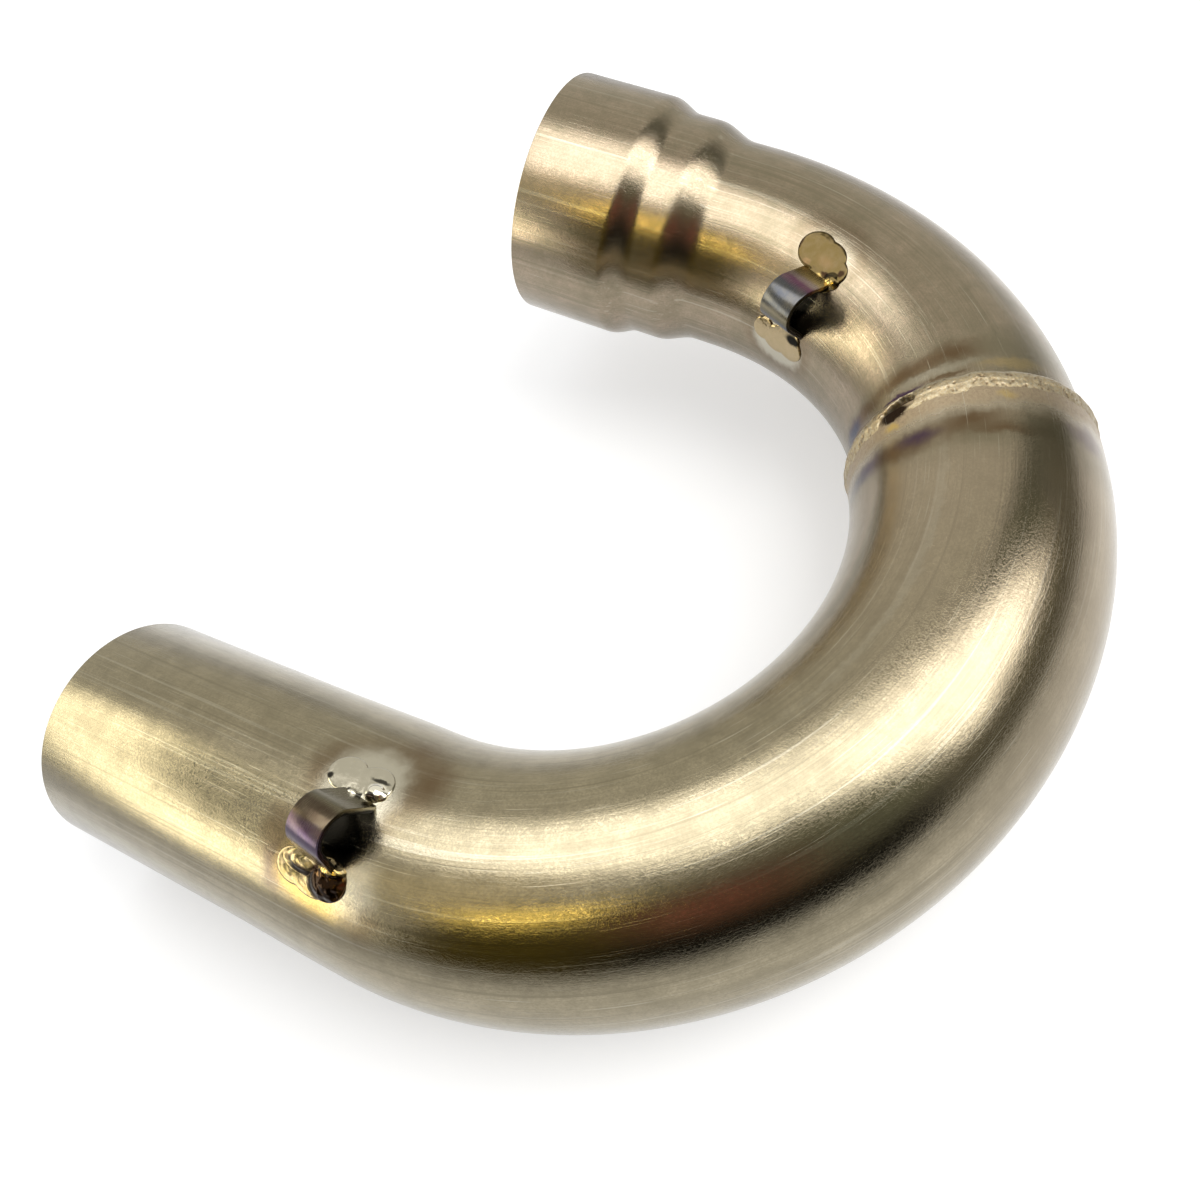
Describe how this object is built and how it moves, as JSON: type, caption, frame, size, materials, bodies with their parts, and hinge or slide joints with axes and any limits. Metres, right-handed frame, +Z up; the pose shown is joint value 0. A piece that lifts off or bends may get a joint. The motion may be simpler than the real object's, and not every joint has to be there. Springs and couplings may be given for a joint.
{
  "type": "motorcycle exhaust header",
  "caption": "U-shaped welded exhaust header pipe with a plain slip-in end, a two-step swaged socket, a girth weld and two welded spring loops.",
  "frame": {"origin": "centre of the plain end's face", "axes": "+X into the plain end along its axis, +Y towards the inside of the U, +Z up from the floor that the pipe lies on"},
  "size_m": [0.1755, 0.2042, 0.073],
  "materials": {
    "tube": "bare drawn tube, finely scratched along its length, warm grey with straw and brown heat tints at the welds",
    "girth_weld": "matt, sandy, finely pitted weld bead",
    "hook_strip": "satin strip with dark blue, purple and straw heat tints",
    "hook_weld": "glossy puddled weld, pale to dark brown"
  },
  "bodies": {
    "root": {"main_tube": "tube", "socket_tube": "tube", "girth_weld": "girth_weld", "plain_hook": "hook_strip", "plain_hook_weld_inner": "hook_weld", "plain_hook_weld_outer": "hook_weld", "socket_hook": "hook_strip", "socket_hook_weld_inner": "hook_weld", "socket_hook_weld_outer": "hook_weld"}
  },
  "joints": []
}
